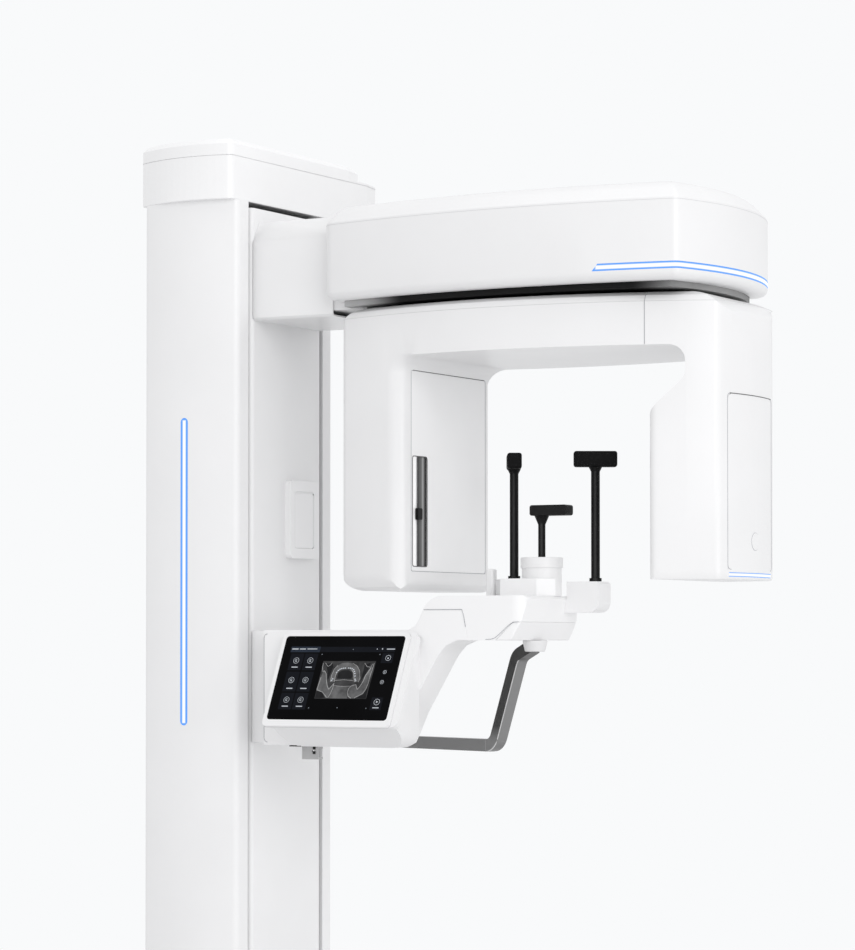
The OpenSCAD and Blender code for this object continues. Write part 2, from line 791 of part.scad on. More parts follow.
module display_housing() {
  x1 = glass_x + glass_w + bezel;
  color(white) difference() {
    union() {
      on_display() along_y(0, 7) polygon(round_box(glass_x - bezel, -bezel_low, x1, glass_h + bezel, 9));
      on_display() along_y(5, bezel_t) polygon(round_box(glass_x - bezel + 2, 2 - bezel_low, x1 + housing_out,
        glass_h + bezel + 4, 14));
      intersection() {
        along_x(glass_x + 8, x1 + housing_out - 6) polygon([[table_y0, arm_low], [table_y0 - 34, arm_low],
          [glass_y + 8, glass_z - 12], [glass_y + 16, glass_z], [table_y0 - 4, table_top - 74], [table_y0, table_top - 74]]);
        on_display() box(glass_x - 20, x1 + 40, bezel_t - 1, 300, -200, 300);
        along_y(table_y0 - 150, table_y0 + 1) polygon(round_box(glass_x + 8, arm_low, x1 + housing_out - 6,
          table_top, housing_r));
      }
    }
    on_display() along_y(-1, 2) polygon(round_box(glass_x, 0, glass_x + glass_w, glass_h, glass_r));
  }
}

module display_glass() {
  color(black) on_display() along_y(0.2, 2) polygon(round_box(glass_x + 0.2, 0.2, glass_x + glass_w - 0.2,
    glass_h - 0.2, glass_r - 0.2));
}

module bar_end(x, z, a, l) {
  translate([x, z]) rotate(a) translate([-0.5, -handle_w / 2]) square([l, handle_w]);
}

// Part of a bent bar round the point (x, z), seen from angle a0 to a1
module bend(x, z, a0, a1) {
  intersection() {
    translate([x, z]) difference() {
      circle(handle_r + handle_w / 2);
      circle(handle_r - handle_w / 2);
    }
    polygon([[x, z], [x + 200 * cos(a0), z + 200 * sin(a0)], [x + 200 * cos((a0 + a1) / 2), z + 200 * sin((a0 + a1) / 2)],
      [x + 200 * cos(a1), z + 200 * sin(a1)]]);
  }
}

module handle_side() {
  a = 67;
  b = 22;
  low = [axis_x - 131, handle_low + handle_r];
  start = low + handle_r * [sin(a), -cos(a)];
  high = start + handle_rise * [cos(a), sin(a)] + handle_r * [sin(a), -cos(a)];
  end = high + handle_r * [-sin(b), cos(b)];
  bar_end(low[0] + 0.5, low[1] - handle_r, 180, 300);
  bend(low[0], low[1], 270, 270 + a);
  bar_end(start[0], start[1], a, handle_rise + 1);
  bend(high[0], high[1], 90 + b, 90 + a);
  bar_end(end[0], end[1], b, 30);
}

module handle_socket() {
  color(soft_white) translate([socket_x, handle_y, table_top - 75 - rod_socket_h]) cylinder(h = rod_socket_h, r1 = 17, r2 = 21.5);
}

module grab_handle() {
  color(grey) difference() {
    translate([socket_x, handle_y, 0]) rotate(-handle_turn) translate([-socket_x, 0, 0])
      along_y(-handle_t / 2, handle_t / 2) handle_side();
    box(0, root_x1, table_y0, root_y1 + 40, 0, table_top);
    handle_socket();
  }
}

module chin_platform() {
  front = chin_y - socket_r - 7;
  color(white) difference() {
    translate([0, 0, table_top]) linear_extrude(platform_top - table_top) polygon([[chin_x - 59, front],
      [chin_x + 11, front], [chin_x + socket_r + 1, chin_y - socket_r / 2], [chin_x + 10, chin_y],
      [chin_x - 20, temple_y + 26], [temple_x0 - 24, temple_y + 26], [temple_x0 - 24, temple_y - 24],
      [temple_x0, temple_y - 45]]);
    post(temple_x0, temple_y, platform_top - 20, platform_top + 1, temple_rod_r + run_gap);
    post(chin_x, chin_y, table_top - 1, platform_top + 1, socket_r + seam);
  }
}

module temple_lever() {
  color(white) translate([0, 0, table_top]) linear_extrude(socket_h)
    polygon(round_box(temple_x0 - 38, temple_y - 34, temple_x0 - 24, temple_y - 16, 4));
}

module temple_pod() {
  color(white) difference() {
    along_y(temple_y - 22, temple_y + 26) polygon(concat([[end_at(pod_low), pod_low], [table_x1 + 42, pod_low]],
      arc(table_x1 + 42, pod_low + 18, 18, 270), [[table_x1 + 60, pod_top - 4], [table_x1 + 56, pod_top],
      [table_x1, pod_top], [table_x1, table_top - 5]]));
    post(temple_x1, temple_y, pod_top - 22, pod_top + 1, temple_rod_r + run_gap);
  }
}

module chin_socket() {
  color(white) difference() {
    union() {
      post(chin_x, chin_y, table_top, table_top + socket_h, socket_r);
      post(chin_x, chin_y, table_top + socket_h, socket_top, socket_r + 2);
    }
    post(chin_x, chin_y, table_top + 12, socket_top + 1, post_r + run_gap);
  }
}

module hook_bracket() {
  x = glass_x + 35;
  y = table_y0 - 20;
  color(grey) difference() {
    box(x, x + 32, y - 8, y + 8, arm_low - 22, arm_low);
    box(x - 1, x + 33, y - 4, y + 9, arm_low - 18, arm_low - 4);
    for (dx = [8, 22]) translate([x + dx, y - 9, arm_low - 8]) rotate([-90, 0, 0]) cylinder(h = 6, r = 2.5);
  }
}

// Plan of the scanning arm: bulged sides and two curved ends
function arm_ring(inset) = whole_plan(half_plan(arm_x0, source_end_r, 24, arm_x1, detector_end_r, 18,
  axis_x - arm_wide_dx, arm_hw, arm_side_r, inset));

// Rounds off the vertical edges where a wall at x meets the arm's sides; way is 1 where the box lies behind the wall
module edge_cut(x, way, r, inset) {
  side = [axis_x - arm_wide_dx, arm_side_r - arm_hw];
  k = r - inset;
  fx = x - way * (inset + k);
  f = [fx, side[1] - sqrt(pow(arm_side_r - inset - k, 2) - pow(fx - side[0], 2))];
  t = f + k * (f - side) / norm(f - side);
  for (m = [0, 1]) mirror([0, m, 0]) translate([0, 0, arm_bottom - 10]) linear_extrude(beam_under - arm_bottom + 10)
    difference() {
      polygon([f, t, t + 30 * (t - f) / k, [fx + way * (k + 30), t[1] - 30], [fx + way * (k + 30), f[1]]]);
      translate(f) circle(k);
    }
}

function between(a, b, s) = let(w = acos(a * b)) (sin((1 - s) * w) * a + sin(s * w) * b) / sin(w);

// Ring of the cut that rounds the edge of the opening at p, whose wall faces away from n
function edge_ring(p, n, r, inset) =
  let(k = max(r - inset, 0.6), side = [axis_x - arm_wide_dx, arm_side_r - arm_hw], x = p[0] + n[0] * (inset + k),
    f = [x, side[1] - sqrt(pow(arm_side_r - inset - k, 2) - pow(x - side[0], 2)), p[1] + n[1] * (inset + k)],
    a = [-n[0], 0, -n[1]], g = [f[0] - side[0], f[1] - side[1], 0], b = g / norm(g))
  concat([for (i = [0 : 6]) f + k * between(a, b, i / 6)], [f + (k + 20) * b, f + (k + 20) * (a + b), f + (k + 20) * a]);

// Rounds the edges of the source's wall, fading out round the opening's upper corner
module source_edge_cut(inset) {
  c = [source_x + opening_r, beam_under - opening_r];
  for (m = [0, 1]) mirror([0, m, 0]) skin(concat(
    [for (z = [arm_bottom - 10, c[1]]) edge_ring([source_x, z], [-1, 0], source_edge_r, inset)],
    [for (i = [1 : 6]) let(n = [cos(180 - 15 * i), sin(180 - 15 * i)])
      edge_ring(c + opening_r * n, n, source_edge_r + (2 - source_edge_r) * i / 6, inset)]));
}

module arm_opening() {
  x = detector_x + detector_step;
  offset(r = -shoulder_r) offset(delta = shoulder_r) offset(r = opening_r) offset(delta = -opening_r) polygon([[source_x, arm_bottom - 50],
    [detector_x, arm_bottom - 50], [detector_x, beam_under - 112], [x, beam_under - 52], [x, beam_under],
    [source_x, beam_under]]);
}

module arm_side(inset) {
  offset(delta = -inset) difference() {
    union() {
      offset(r = arm_corner_r) offset(delta = -arm_corner_r) translate([arm_x0, arm_bottom]) square([2 * arm_reach, arm_h]);
      translate([detector_x - 20, detector_bottom]) square([arm_x1 - detector_x + 20, arm_h / 2]);
    }
    arm_opening();
    translate([detector_x - 50, arm_bottom - 20]) square([300, detector_bottom - arm_bottom + 20]);
    translate([source_x, arm_bottom]) difference() {
      translate([-18, -1]) square([20, 19]);
      translate([-18, 18]) circle(18);
    }
  }
}

module arm_solid(inset) {
  difference() {
    intersection() {
      along_y(-arm_hw - 5, arm_hw + 5) arm_side(inset);
      loft([[arm_bottom + inset, arm_ring(inset + 16)], [arm_bottom + inset + 6, arm_ring(inset + 7)],
        [arm_bottom + inset + 18, arm_ring(inset + 1)], [arm_bottom + inset + 30, arm_ring(inset)],
        [arm_top - 16, arm_ring(inset)], [arm_top - 6, arm_ring(inset + 5)], [arm_top - inset, arm_ring(inset + 15)]]);
    }
    source_edge_cut(inset);
    edge_cut(detector_x, -1, 14, inset);
  }
}

module arm_skin() {
  difference() {
    arm_solid(0);
    arm_solid(cover_wall);
  }
}

module arm_cover() {
  color(white) difference() {
    arm_skin();
    box(detector_x - 2, arm_x1 + 10, -arm_hw - 9, arm_hw + 9, 0, arm_top + 10);
    post(axis_x, 0, frame_top - 1, arm_top + 1, hub_r + 5);
    along_x(source_x - 10, source_x + 10) polygon(round_box(-source_panel_hw, panel_z0, source_panel_hw, panel_z1, 5));
  }
}

module door_area(gap) {
  along_x(arm_x1 - 40, arm_x1 + 10) polygon(concat(arc(door_hw - 12 - gap, door_z0 + door_h - 12 - gap, 12, 0),
    arc(12 + gap - door_hw, door_z0 + door_h - 12 - gap, 12, 90), [[gap - door_hw, door_z0], [door_hw - gap, door_z0]]));
}

module end_light_area() {
  box(arm_x1 - 40, arm_x1 + 10, -door_hw + 4, door_hw - 4, detector_bottom + 4, detector_bottom + 11);
}

module detector_cover() {
  color(white) difference() {
    arm_skin();
    box(arm_x0 - 10, detector_x - 2, -arm_hw - 9, arm_hw + 9, 0, arm_top + 10);
    door_area(0);
    end_light_area();
  }
}

module detector_door() {
  color(white) difference() {
    intersection() {
      arm_skin();
      door_area(seam);
    }
    translate([arm_x1 - 2, 0, door_z0 + 47]) rotate([0, 90, 0]) cylinder(h = 10, r = door_cap_r + 0.3);
  }
}

module door_cap() {
  color(soft_white) translate([arm_x1 - 2, 0, door_z0 + 47]) rotate([0, 90, 0]) cylinder(h = 2.6, r = door_cap_r);
}

module end_light() {
  color(glow) intersection() {
    arm_skin();
    end_light_area();
  }
}

module source_panel() {
  color(soft_white) difference() {
    union() {
      along_x(source_x - cover_wall, source_x) polygon(round_box(seam - source_panel_hw, panel_z0 + seam,
        source_panel_hw - seam, panel_z1 - seam, 5));
      box(source_x - 2 * cover_wall, source_x - cover_wall, -source_panel_hw - 2, source_panel_hw + 2, panel_z0 - 5, panel_z1 + 5);
    }
    box(source_x - cover_wall, source_x + 1, 4 - source_panel_hw, knob_y + 34, slot_z0, slot_z1);
    box(source_x - 20, source_x, knob_y - 3, knob_y + 3, slot_z0 + 4, slot_z1 - 4);
  }
}

module laser_strip() {
  color(white) box(source_x - cover_wall, source_x - 0.8, 4 - source_panel_hw + 0.3, knob_y - 4, slot_z0 + 0.3, slot_z1 - 0.3);
}

module laser_window() {
  color(dark) box(source_x - cover_wall, source_x - 1.4, knob_y + 4, knob_y + 33.7, slot_z0 + 0.3, slot_z1 - 0.3);
}

module laser_knob() {
  color(black) {
    along_x(source_x - 0.2, source_x + 6) polygon(round_box(knob_y - 8, knob_z - 10, knob_y + 8, knob_z + 10, 3));
    box(source_x - 8, source_x, knob_y - 2.5, knob_y + 2.5, knob_z - 6, knob_z + 6);
    box(source_x - 10, source_x - 2 * cover_wall - slide_gap, knob_y - 9, knob_y + 9, knob_z - 12, knob_z + 12);
  }
}

module xray_tube() {
  z = beam_under - 280;
  color(grey) box(axis_x - 285, axis_x - 228, -70, 70, z, z + 220);
  color(grey) box(axis_x - 276, axis_x - 240, -40, 40, z - 30, z);
}

module collimator() {
  z = beam_under - 220;
  color(dark) box(axis_x - 228, source_x - 2 * cover_wall, -38, 38, z, z + 100);
}

module detector_panel() {
  z = beam_under - 300;
  color(dark) box(detector_x + 24, detector_x + 70, -78, 78, z, z + 160);
}

module arm_frame() {
  x1 = detector_x + 78;
  color(steel) {
    box(axis_x - 295, arm_x1 - 68, -45, 45, frame_top - 30, frame_top);
    box(axis_x - 295, axis_x - 285, -45, 45, beam_under - 300, frame_top - 30);
    box(arm_x1 - 68, x1, -45, 45, frame_top - 30, frame_top - 16);
    box(detector_x + 70, x1, -45, 45, beam_under - 320, frame_top - 30);
  }
}

module spin_hub() {
  color(steel) difference() {
    post(axis_x, 0, frame_top, spindle_top, hub_r);
    post(axis_x, 0, frame_top + 10, spindle_top + 1, hub_bore_r);
  }
}

module motor_rotor() {
  color(grey) difference() {
    post(axis_x, 0, bearing_top + 1, spindle_top, rotor_r);
    post(axis_x, 0, bearing_top, spindle_top + 1, hub_r);
  }
}

module temple_rod(x, base) {
  top = table_top + temple_pad_z;
  color(black) {
    post(x, temple_y, base - 18, top, temple_rod_r);
    post(x, temple_y, base + slide_gap, base + 6, temple_rod_r + 3);
    translate([x, temple_y, top - 8]) cylinder(h = 8, r1 = temple_rod_r, r2 = temple_rod_r + 4);
  }
}

module temple_pad(x, turn) {
  color(black) translate([x, temple_y, table_top + temple_pad_z]) rotate(turn) linear_extrude(temple_pad_h)
    polygon(round_box(-temple_pad_l / 2, -temple_pad_w / 2, temple_pad_l / 2, temple_pad_w / 2, 5));
}

module temple_rod_left() {
  temple_rod(temple_x0, platform_top);
}

module temple_pad_left() {
  temple_pad(temple_x0, left_pad_turn);
}

module temple_rod_right() {
  temple_rod(temple_x1, pod_top);
}

module temple_pad_right() {
  temple_pad(temple_x1, right_pad_turn);
}

module chin_rest() {
  x = chin_x + chin_bar_dx;
  z = table_top + chin_bar_z;
  color(black) {
    post(chin_x, chin_y, table_top + 14, z - 8, post_r);
    translate([chin_x, chin_y, z - 24]) cylinder(h = 16, r1 = post_r, r2 = 13);
    along_y(chin_y - 13, chin_y + 13) polygon(round_box(x - chin_bar_l / 2, z - 9, x + chin_bar_l / 2, z + 9, 4));
  }
}

base_plate();
foot_skirt();
column_shell();
column_cap();
cap_lid();
column_light();
lower_cover();
rail_left();
rail_right();
actuator_barrel();
actuator_motor();
power_box();
carriage_frame();
slide_blocks();
actuator_rod();
carriage_panel();
neck_beam();
neck_cover();
head_shell();
head_crown();
head_light();
head_base();
head_frame();
bearing();
motor_stator();
remote_holder();
remote();
arm_bracket();
lower_arm();
table_cover();
table_end();
display_housing();
display_glass();
grab_handle();
handle_socket();
chin_platform();
temple_lever();
temple_pod();
chin_socket();
hook_bracket();
arm_cover();
detector_cover();
source_panel();
detector_door();
door_cap();
end_light();
laser_window();
laser_strip();
xray_tube();
collimator();
detector_panel();
arm_frame();
spin_hub();
motor_rotor();
laser_knob();
temple_rod_left();
temple_pad_left();
temple_rod_right();
temple_pad_right();
chin_rest();
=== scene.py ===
import json
import math

import bpy
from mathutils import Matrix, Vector


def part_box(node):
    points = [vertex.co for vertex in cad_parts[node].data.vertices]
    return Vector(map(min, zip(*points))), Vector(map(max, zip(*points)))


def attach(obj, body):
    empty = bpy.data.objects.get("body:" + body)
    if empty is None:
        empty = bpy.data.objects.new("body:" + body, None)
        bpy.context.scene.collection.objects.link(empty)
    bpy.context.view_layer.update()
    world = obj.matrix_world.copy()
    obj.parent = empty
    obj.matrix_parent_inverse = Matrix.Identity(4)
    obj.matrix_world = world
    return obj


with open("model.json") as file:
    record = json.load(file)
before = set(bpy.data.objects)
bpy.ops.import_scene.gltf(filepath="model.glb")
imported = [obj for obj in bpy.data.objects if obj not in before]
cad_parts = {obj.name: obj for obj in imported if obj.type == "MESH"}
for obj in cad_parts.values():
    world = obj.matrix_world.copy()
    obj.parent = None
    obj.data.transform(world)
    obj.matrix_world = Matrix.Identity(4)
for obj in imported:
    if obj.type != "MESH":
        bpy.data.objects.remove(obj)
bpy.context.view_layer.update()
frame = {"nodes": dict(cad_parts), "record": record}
nodes = frame["nodes"]

MM = 0.001

# Sizes repeated from the part's source, in millimetres
AXIS_X = 640
TABLE_TOP, TABLE_Y0 = 1452, -165
ARM_TOP, ARM_SEAM, BEAM_UNDER = 1947, 1931, 1860
ARM_MIDDLE, ARM_HALF, ARM_SIDE_R = AXIS_X - 18, 191, 900
ARM_X0, ARM_X1, ARM_END_R = AXIS_X - 367, AXIS_X + 367, 420
DETECTOR_SEAM_X, SOURCE_X = 878, 430
SOURCE_HALF, SOURCE_Z0, SOURCE_Z1 = 134, 1495, 1838
DOOR_HALF, DOOR_Z0, DOOR_Z1 = 90, 1493, 1781
HEAD_X0, HEAD_X1, HEAD_SEAM = 264, AXIS_X + 348, 2091
HEAD_LIGHT_Z, HEAD_LIGHT_H = 1978, 12
CAP_SEAM = 2226
GLASS_X, GLASS_Y, GLASS_Z = 214, TABLE_Y0 - 88, TABLE_TOP - 209
GLASS_W, GLASS_H, GLASS_LEAN = 235, 157, math.radians(25.7)
BEZEL, BEZEL_LOW, BEZEL_STEP = 7, 12, 4.9
HANDLE_X, HANDLE_Y, HANDLE_TURN = 634, -70, math.radians(25)
HANDLE_LOW, HANDLE_BEND_X, HANDLE_R, HANDLE_HALF = 1197, AXIS_X - 131, 26, 10.5
HANDLE_RISE, HANDLE_LEAN = 139, math.radians(67)


# Materials
class Look:
    """One procedural material under construction."""

    def __init__(self, name):
        self.material = bpy.data.materials.new(name)
        self.material.use_nodes = True
        self.tree = self.material.node_tree
        self.tree.nodes.clear()
        out = self.node("ShaderNodeOutputMaterial")
        self.shader = self.node("ShaderNodeBsdfPrincipled")
        self.feed(out.inputs["Surface"], self.shader.outputs["BSDF"])
        self.coord = self.node("ShaderNodeTexCoord").outputs["Object"]

    def node(self, kind):
        return self.tree.nodes.new(kind)

    def feed(self, socket, value):
        """Gives an input its constant, or links another node's output to it."""
        if isinstance(value, bpy.types.NodeSocket):
            self.tree.links.new(value, socket)
        else:
            socket.default_value = value

    def set(self, **values):
        for name, value in values.items():
            self.feed(self.shader.inputs[name.replace("_", " ")], value)
        return self

    def math(self, operation, *values):
        n = self.node("ShaderNodeMath")
        n.operation = operation
        for socket, value in zip(n.inputs, values):
            self.feed(socket, value)
        return n.outputs[0]

    def map_range(self, value, from_min, from_max, to_min=0, to_max=1):
        n = self.node("ShaderNodeMapRange")
        for name, given in (("Value", value), ("From Min", from_min), ("From Max", from_max),
                            ("To Min", to_min), ("To Max", to_max)):
            self.feed(n.inputs[name], given)
        return n.outputs["Result"]

    def axes(self, vector):
        n = self.node("ShaderNodeSeparateXYZ")
        self.feed(n.inputs["Vector"], vector)
        return n.outputs

    def normal(self, kind):
        return self.node("ShaderNodeNewGeometry").outputs[kind]

    def noise(self, scale, detail=3, stretch=None):
        n = self.node("ShaderNodeTexNoise")
        n.inputs["Scale"].default_value = scale
        n.inputs["Detail"].default_value = detail
        place = self.coord
        if stretch:
            m = self.node("ShaderNodeMapping")
            m.inputs["Scale"].default_value = stretch
            self.feed(m.inputs["Vector"], place)
            place = m.outputs["Vector"]
        self.feed(n.inputs["Vector"], place)
        return n.outputs["Fac"]

    def ramp(self, value, stops, smooth=False):
        r = self.node("ShaderNodeValToRGB")
        r.color_ramp.interpolation = "EASE" if smooth else "LINEAR"
        while len(r.color_ramp.elements) < len(stops):
            r.color_ramp.elements.new(0.5)
        for e, (pos, colour) in zip(r.color_ramp.elements, stops):
            e.position = pos
            e.color = (*colour, 1)
        self.feed(r.inputs["Fac"], value)
        return r.outputs["Color"]

    def varied(self, colour, spread, scale):
        """A colour with soft variation round it."""
        low = [max(0, c * (1 - spread)) for c in colour]
        high = [min(1, c * (1 + spread)) for c in colour]
        return self.ramp(self.noise(scale), [(0.3, low), (0.7, high)])

    def rough(self, low, high, scale=40):
        return self.set(Roughness=self.map_range(self.noise(scale), 0, 1, low, high))

    def grain(self, scale, strength, stretch=None):
        b = self.node("ShaderNodeBump")
        b.inputs["Strength"].default_value = strength
        b.inputs["Distance"].default_value = 0.0002
        self.feed(b.inputs["Height"], self.noise(scale, 2, stretch))
        return self.set(Normal=b.outputs["Normal"])


def plastic(name, colour, low, high, spread=0.015, grain=0.12, grain_scale=900):
    """A moulded or painted surface: its colour, the range of its roughness, and how far both vary."""
    look = Look(name)
    return look.set(Base_Color=look.varied(colour, spread, 6)).rough(low, high).grain(grain_scale, grain)


def glossy_white(name, colour):
    return plastic(name, colour, 0.3, 0.38).set(Coat_Weight=0.15, Coat_Roughness=0.25)


DULL = 0.12
looks = {
    "white_cover": glossy_white("white_cover", (0.835, 0.835, 0.838)),
    # A lighter copy of the white cover: painted light
    "white_painted_lighter": glossy_white("white_painted_lighter", (0.9, 0.9, 0.903)),
    "white_metal": plastic("white_metal", (0.86, 0.86, 0.863), 0.34, 0.42, grain=0.18, grain_scale=520),
    "soft_white": plastic("soft_white", (0.765, 0.765, 0.768), 0.45, 0.55, grain=0.2),
    "dark_plastic": plastic("dark_plastic", (0.009, 0.009, 0.0095), 0.5, 0.62, 0.15, 0.25).set(
        Specular_IOR_Level=DULL),
    "black_plastic": plastic("black_plastic", (0.0045, 0.0045, 0.0047), 0.4, 0.5, 0.2, 0.25).set(
        Specular_IOR_Level=DULL),
    "black_pad": plastic("black_pad", (0.005, 0.005, 0.0052), 0.55, 0.7, 0.25, 0.5, 650).set(
        Specular_IOR_Level=0.1),
    "display_glass": plastic("display_glass", (0.003, 0.003, 0.0034), 0.12, 0.18, 0.3, 0.02).set(
        Specular_IOR_Level=0.02),
    "steel": plastic("steel", (0.55, 0.56, 0.58), 0.28, 0.4, 0.05, 0.15).set(Metallic=1.0),
    "aluminium": plastic("aluminium", (0.68, 0.69, 0.71), 0.3, 0.42, 0.04, 0.15).set(Metallic=1.0),
    "grey_metal": plastic("grey_metal", (0.15, 0.152, 0.156), 0.36, 0.46, 0.06, 0.2, 700).set(Metallic=0.35),
    "grey_plastic": plastic("grey_plastic", (0.17, 0.172, 0.178), 0.45, 0.55, 0.05, 0.2),
}


def handle_painted_light_look():
    """Satin metal with painted light and shade by face direction: the upright dark on its near face and
    lighter on its outer one, the lower bar a painted mid grey.
    """
    look = Look("handle_metal_painted_light").rough(0.3, 0.4, 60).grain(500, 0.12, (1, 1, 12)).set(Metallic=0.4)
    # Painted light: faces pointing towards +X are coloured lighter, and the lower bar gets a lighter painted
    # grey
    outward = look.axes(look.normal("True Normal"))["X"]
    bar = look.map_range(look.axes(look.coord)["Z"], (HANDLE_LOW + 9) * MM, (HANDLE_LOW + 40) * MM, 0.62, 0)
    shade = look.math("MULTIPLY_ADD", look.noise(7, 2, (1, 1, 0.4)), 0.12, look.math("MAXIMUM", outward, bar))
    stops = [(0.0, (0.036, 0.036, 0.035)), (0.2, (0.046, 0.046, 0.045)), (0.66, (0.2, 0.2, 0.2)),
             (0.85, (0.245, 0.245, 0.245)), (1.0, (0.25, 0.25, 0.25))]
    return look.set(Base_Color=look.ramp(shade, stops)).material


def rod_painted_sheen_look():
    """Black plastic with a painted sheen on the side towards the operator."""
    look = Look("black_painted_sheen").rough(0.35, 0.45).grain(700, 0.12).set(Specular_IOR_Level=DULL)
    # Painted sheen: the colour is lighter where the surface faces one fixed direction
    facing = look.node("ShaderNodeVectorMath")
    facing.operation = "DOT_PRODUCT"
    facing.inputs[1].default_value = (0.35, -0.937, 0)
    look.feed(facing.inputs[0], look.normal("Normal"))
    shade = look.math("MULTIPLY_ADD", look.noise(30), 0.02, facing.outputs["Value"])
    stops = [(0.0, (0.004, 0.004, 0.0042)), (0.93, (0.005, 0.005, 0.0052)), (1.0, (0.035, 0.035, 0.035))]
    return look.set(Base_Color=look.ramp(shade, stops)).material


def ramped(name, axis, stops, low, high, grain=0.12):
    """Plastic whose grey changes along one axis, to paint shade and reflections: stops of (position in
    millimetres, grey level).
    """
    look = Look(name).rough(low, high).grain(700, grain).set(Specular_IOR_Level=DULL)
    first, last = stops[0][0], stops[-1][0]
    along = look.map_range(look.axes(look.coord)[axis], first * MM, last * MM)
    greys = [((at - first) / (last - first), (grey, grey, grey)) for at, grey in stops]
    return look.set(Base_Color=look.ramp(along, greys, True)).material


def glow(name, axis, middle, half, core=0.4, ends=()):
    """Lit diffuser: white in the middle of the strip, blue at its edges. axis is the one across the strip.
    ends lists closed ends as (axis, place of the end, place where the white begins)."""
    look = Look(name).set(Base_Color=(0.02, 0.03, 0.05, 1), Roughness=0.5, Specular_IOR_Level=0.1)
    place = look.axes(look.coord)
    off = look.math("ABSOLUTE", look.math("SUBTRACT", place[axis], middle * MM))
    edge = look.map_range(off, 0, half * MM)
    for along, at, inside in ends:
        edge = look.math("MAXIMUM", edge, look.map_range(place[along], at * MM, inside * MM, 1, 0))
    stops = [(0, (1, 1, 1)), (core, (1, 1, 1)), (core + 0.24, (0.13, 0.38, 0.95)), (1, (0.09, 0.32, 0.93))]
    return look.set(Emission_Color=look.ramp(edge, stops), Emission_Strength=1.0).material


# CAD nodes: materials and softened edges
slots = {s["node"]: s["material_slot"] for s in frame["record"]["subparts"]}
# Edge rounding in millimetres for the nodes whose edges show
ROUNDED = {
    "lower_arm": 9, "table_cover": 5, "table_end": 5, "neck_cover": 4, "column_cap": 6, "cap_lid": 3,
    "arm_bracket": 8, "remote_holder": 3, "remote": 1.5, "chin_platform": 3, "temple_lever": 3,
    "temple_pod": 3, "chin_socket": 2, "grab_handle": 2.5, "hook_bracket": 2, "foot_skirt": 4,
    "base_plate": 2, "carriage_panel": 1.5, "laser_knob": 1, "temple_pad_left": 4, "temple_pad_right": 4,
    "chin_rest": 3, "handle_socket": 2, "door_cap": 0.6, "head_base": 2,
}
# Nodes given the lighter copy of the white, painted light where these faces would render in shade
PAINTED_LIGHTER = ("lower_arm", "table_cover", "table_end", "temple_pod", "chin_platform", "temple_lever",
          "arm_bracket", "column_cap", "cap_lid", "source_panel", "remote", "remote_holder")


def in_mm(corners):
    """The lowest and highest corner of a CAD node, from metres to millimetres."""
    return [corner / MM for corner in corners]


def dress(obj, width):
    """Smooth shading, with bevelled edges where a width is given."""
    mesh = obj.data
    for name in ("custom_normal", "sharp_edge", "sharp_face"):
        if name in mesh.attributes:
            mesh.attributes.remove(mesh.attributes[name])
    mesh.polygons.foreach_set("use_smooth", [True] * len(mesh.polygons))
    weld = obj.modifiers.new("weld", "WELD")
    weld.merge_threshold = 0.00001
    if width:
        flat = obj.modifiers.new("flat", "DECIMATE")
        flat.decimate_type = "DISSOLVE"
        flat.angle_limit = math.radians(0.5)
        bevel = obj.modifiers.new("bevel", "BEVEL")
        bevel.width = width * MM
        bevel.segments = 3
        bevel.limit_method = "ANGLE"
        bevel.angle_limit = math.radians(32)
        obj.modifiers.new("normals", "WEIGHTED_NORMAL")
    else:
        split = obj.modifiers.new("split", "EDGE_SPLIT")
        split.split_angle = math.radians(28)


def special_paint():
    """The materials of the nodes that don't take the plain look of their slot."""
    paint = {name: looks["white_painted_lighter"].material for name in PAINTED_LIGHTER}
    rods = rod_painted_sheen_look()
    paint.update({name: rods for name in ("temple_rod_left", "temple_rod_right", "chin_rest")})
    paint["grab_handle"] = handle_painted_light_look()
    paint["hook_bracket"] = plastic("hook_grey", (0.42, 0.42, 0.422), 0.45, 0.55, 0.05, 0.2).material
    paint["door_cap"] = looks["white_cover"].material
    paint["lower_cover"] = looks["soft_white"].material
    # Painted light: a faint glow that brightens the white strip beside the laser window
    strip = plastic("strip_white_painted_glow", (0.95, 0.95, 0.952), 0.2, 0.28, 0.01, 0.05)
    paint["laser_strip"] = strip.set(Emission_Color=(1, 1, 1, 1), Emission_Strength=0.12).material
    # Painted shade in the recess between head and scanning arm: near black in the middle, lighter grey
    # towards both ends where it opens
    painted_recess_shade = [(HEAD_X0, 0.6), (330, 0.42), (430, 0.008), (860, 0.008), (985, 0.4)]
    paint["head_base"] = ramped("painted_recess_shade", "X", painted_recess_shade, 0.5, 0.6)
    # Painted reflection on the dark glass of the laser window: a lighter band across its middle
    low, high = in_mm(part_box("laser_window"))
    greys = [(0, 0.05), (0.35, 0.12), (0.6, 0.34), (0.75, 0.07), (1, 0.03)]
    across = [(low.y + (high.y - low.y) * part, grey) for part, grey in greys]
    paint["laser_window"] = ramped("window", "Y", across, 0.12, 0.2, 0.03)
    low, high = in_mm(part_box("head_light"))
    paint["head_light"] = glow("glow_head", "Z", HEAD_LIGHT_Z + HEAD_LIGHT_H / 2, HEAD_LIGHT_H / 2,
                               ends=[("X", low.x, low.x + 14)])
    low, high = in_mm(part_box("column_light"))
    paint["column_light"] = glow("glow_column", "X", (low.x + high.x) / 2, (high.x - low.x) / 2, 0.3,
                                 [("Z", low.z, low.z + 7), ("Z", high.z, high.z - 7)])
    low, high = in_mm(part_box("end_light"))
    paint["end_light"] = glow("glow_end", "Z", (low.z + high.z) / 2, (high.z - low.z) / 2, 0.5)
    return paint


